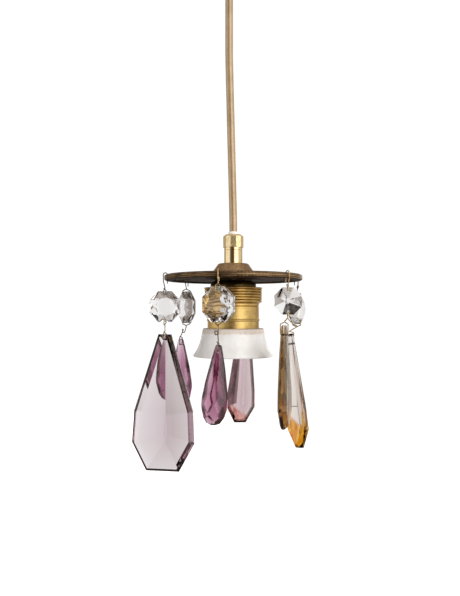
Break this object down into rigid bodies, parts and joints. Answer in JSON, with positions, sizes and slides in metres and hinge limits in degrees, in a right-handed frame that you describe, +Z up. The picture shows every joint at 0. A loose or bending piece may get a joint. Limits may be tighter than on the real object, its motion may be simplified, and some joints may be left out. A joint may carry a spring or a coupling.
{
  "type": "pendant lamp with crystal drops",
  "caption": "Small one-light pendant: cable with brass grip, bronze disc, brass lampholder with porcelain ring, and wired crystal beads and drops.",
  "frame": {"origin": "on the cable's axis, where its straight upper run is clamped; the lamp hangs below", "axes": "+Z up along the cable; +X to the right and +Y to the back as seen from the front"},
  "size_m": [0.1226, 0.1072, 0.3551],
  "materials": {
    "gold_sheath": "satin",
    "brown_insulation": "satin",
    "blue_insulation": "satin",
    "copper": "bright",
    "polished_brass": "polished",
    "white_nylon": "satin",
    "patinated_bronze": "cast, patinated",
    "old_brass": "aged satin",
    "contact_bronze": "satin",
    "bare_ceramic": "unglazed",
    "white_glaze": "glossy",
    "brass_wire": "tarnished",
    "clear_crystal": "cut and polished",
    "smoky_lilac_crystal": "cut and polished",
    "mauve_crystal": "cut and polished",
    "purple_crystal": "cut and polished",
    "pink_crystal": "cut and polished",
    "champagne_crystal": "cut and polished",
    "amber_crystal": "cut and polished"
  },
  "bodies": {
    "root": {"cable_sheath": "gold_sheath", "live_core": "brown_insulation", "neutral_core": "blue_insulation", "live_strand": "copper", "neutral_strand": "copper", "cord_grip_nut": "polished_brass", "cord_grip_collet": "white_nylon", "cord_grip_body": "polished_brass", "threaded_nipple": "polished_brass", "nipple_locknut": "polished_brass", "crystal_disc": "patinated_bronze", "lampholder_cap": "old_brass", "lampholder_sleeve": "old_brass", "ceramic_core": "bare_ceramic", "centre_contact": "contact_bronze", "side_contact": "contact_bronze", "terminal_screws": "polished_brass", "screw_shell": "contact_bronze", "porcelain_ring": "white_glaze"},
    "hook_a": {"hook_a": "brass_wire"},
    "bead_a": {"bead_a": "clear_crystal"},
    "link_a": {"link_a": "brass_wire"},
    "drop_a": {"drop_a": "smoky_lilac_crystal"},
    "hook_b": {"hook_b": "brass_wire"},
    "bead_b": {"bead_b": "clear_crystal"},
    "link_b": {"link_b": "brass_wire"},
    "drop_b": {"drop_b": "mauve_crystal"},
    "hook_c": {"hook_c": "brass_wire"},
    "bead_c": {"bead_c": "clear_crystal"},
    "link_c": {"link_c": "brass_wire"},
    "drop_c": {"drop_c": "purple_crystal"},
    "hook_d": {"hook_d": "brass_wire"},
    "bead_d": {"bead_d": "clear_crystal"},
    "link_d": {"link_d": "brass_wire"},
    "drop_d": {"drop_d": "pink_crystal"},
    "hook_e": {"hook_e": "brass_wire"},
    "bead_e": {"bead_e": "clear_crystal"},
    "link_e": {"link_e": "brass_wire"},
    "drop_e": {"drop_e": "champagne_crystal"},
    "hook_f": {"hook_f": "brass_wire"},
    "bead_f": {"bead_f": "clear_crystal"},
    "link_f": {"link_f": "brass_wire"},
    "drop_f": {"drop_f": "amber_crystal"}
  },
  "joints": [
    {"name": "hook_a_swing", "type": "hinge", "parent": "root", "child": "hook_a", "pos_m": [-0.04341, -0.01155, -0.188], "axis": [-0.2419, 0.9703, 0], "range_deg": [-8, 12]},
    {"name": "bead_a_turn", "type": "hinge", "parent": "hook_a", "child": "bead_a", "pos_m": [-0.04367, -0.01161, -0.1996], "axis": [-0.1392, -0.9903, 0], "range_deg": [-12, 12]},
    {"name": "link_a_turn", "type": "hinge", "parent": "bead_a", "child": "link_a", "pos_m": [-0.04367, -0.01161, -0.2166], "axis": [0.1392, 0.9903, 0], "range_deg": [-12, 12]},
    {"name": "drop_a_turn", "type": "hinge", "parent": "link_a", "child": "drop_a", "pos_m": [-0.04367, -0.01161, -0.2295], "axis": [-0.1045, -0.9945, 0], "range_deg": [-20, 20]},
    {"name": "hook_b_swing", "type": "hinge", "parent": "root", "child": "hook_b", "pos_m": [-0.03201, 0.03255, -0.188], "axis": [0.682, 0.7314, 0], "range_deg": [-8, 12]},
    {"name": "bead_b_turn", "type": "hinge", "parent": "hook_b", "child": "bead_b", "pos_m": [-0.0322, 0.03274, -0.1982], "axis": [-0.848, -0.5299, 0], "range_deg": [-12, 12]},
    {"name": "link_b_turn", "type": "hinge", "parent": "bead_b", "child": "link_b", "pos_m": [-0.0322, 0.03274, -0.2179], "axis": [0.848, 0.5299, 0], "range_deg": [-12, 12]},
    {"name": "drop_b_turn", "type": "hinge", "parent": "link_b", "child": "drop_b", "pos_m": [-0.0364, 0.03274, -0.2359], "axis": [-0.342, -0.9397, 0], "range_deg": [-20, 20]},
    {"name": "hook_c_swing", "type": "hinge", "parent": "root", "child": "hook_c", "pos_m": [-0.00662, -0.04677, -0.188], "axis": [-0.9799, 0.1994, 0], "range_deg": [-8, 12]},
    {"name": "bead_c_turn", "type": "hinge", "parent": "hook_c", "child": "bead_c", "pos_m": [-0.00667, -0.04704, -0.1979], "axis": [0.5, 0.866, 0], "range_deg": [-12, 12]},
    {"name": "link_c_turn", "type": "hinge", "parent": "bead_c", "child": "link_c", "pos_m": [-0.00667, -0.04704, -0.2163], "axis": [-0.5, -0.866, 0], "range_deg": [-12, 12]},
    {"name": "drop_c_turn", "type": "hinge", "parent": "link_c", "child": "drop_c", "pos_m": [-0.00667, -0.04704, -0.2367], "axis": [-0.1392, -0.9903, 0], "range_deg": [-20, 20]},
    {"name": "hook_d_swing", "type": "hinge", "parent": "root", "child": "hook_d", "pos_m": [0.01119, 0.047, -0.188], "axis": [0.9848, -0.1736, 0], "range_deg": [-8, 12]},
    {"name": "bead_d_turn", "type": "hinge", "parent": "hook_d", "child": "bead_d", "pos_m": [0.01124, 0.04727, -0.199], "axis": [-0.2588, -0.9659, 0], "range_deg": [-12, 12]},
    {"name": "link_d_turn", "type": "hinge", "parent": "bead_d", "child": "link_d", "pos_m": [0.01124, 0.04727, -0.2165], "axis": [0.2588, 0.9659, 0], "range_deg": [-12, 12]},
    {"name": "drop_d_turn", "type": "hinge", "parent": "link_d", "child": "drop_d", "pos_m": [0.01124, 0.04727, -0.2359], "axis": [-0.342, 0.9397, 0], "range_deg": [-20, 20]},
    {"name": "hook_e_swing", "type": "hinge", "parent": "root", "child": "hook_e", "pos_m": [0.03781, -0.03255, -0.188], "axis": [-0.682, -0.7314, 0], "range_deg": [-8, 12]},
    {"name": "bead_e_turn", "type": "hinge", "parent": "hook_e", "child": "bead_e", "pos_m": [0.038, -0.03274, -0.1979], "axis": [-0.0349, 0.9994, 0], "range_deg": [-12, 12]},
    {"name": "link_e_turn", "type": "hinge", "parent": "bead_e", "child": "link_e", "pos_m": [0.038, -0.03274, -0.2115], "axis": [0.0349, -0.9994, 0], "range_deg": [-12, 12]},
    {"name": "drop_e_turn", "type": "hinge", "parent": "link_e", "child": "drop_e", "pos_m": [0.0356, -0.03274, -0.2265], "axis": [0.9455, -0.3256, 0], "range_deg": [-15, 15]},
    {"name": "hook_f_swing", "type": "hinge", "parent": "root", "child": "hook_f", "pos_m": [0.04854, 0.01396, -0.188], "axis": [0.2924, -0.9563, 0], "range_deg": [-8, 12]},
    {"name": "bead_f_turn", "type": "hinge", "parent": "hook_f", "child": "bead_f", "pos_m": [0.0488, 0.01403, -0.2012], "axis": [-0.848, 0.5299, 0], "range_deg": [-12, 12]},
    {"name": "link_f_turn", "type": "hinge", "parent": "bead_f", "child": "link_f", "pos_m": [0.0488, 0.01403, -0.2184], "axis": [0.848, -0.5299, 0], "range_deg": [-12, 12]},
    {"name": "drop_f_turn", "type": "hinge", "parent": "link_f", "child": "drop_f", "pos_m": [0.0442, 0.01403, -0.2348], "axis": [0.7431, 0.6691, 0], "range_deg": [-20, 20]}
  ]
}
